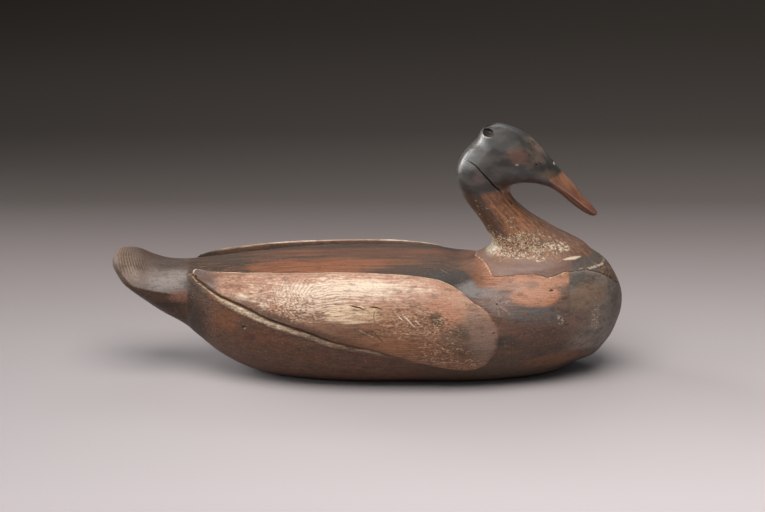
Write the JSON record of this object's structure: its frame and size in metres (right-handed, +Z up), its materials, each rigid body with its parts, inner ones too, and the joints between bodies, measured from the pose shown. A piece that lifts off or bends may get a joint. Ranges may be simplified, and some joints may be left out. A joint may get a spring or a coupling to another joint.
{
  "type": "merganser decoy",
  "caption": "Carved wooden merganser decoy with raised wings, a paddle tail, a flat underside, and a curved neck and head let into the breast",
  "frame": {"origin": "on the floor, under the middle of the decoy's length, in its middle plane", "axes": "+X along the body, from the tail to the breast and bill, +Y to the bird's left, +Z up"},
  "size_m": [0.457, 0.1604, 0.225],
  "materials": {
    "body_wood": "red-brown wood with old worn paint in charcoal, cream and orange-brown",
    "head_wood": "charcoal paint on the head, worn red-brown wood on the neck and bill"
  },
  "bodies": {
    "root": {"body": "body_wood", "head_neck": "head_wood"}
  },
  "joints": []
}
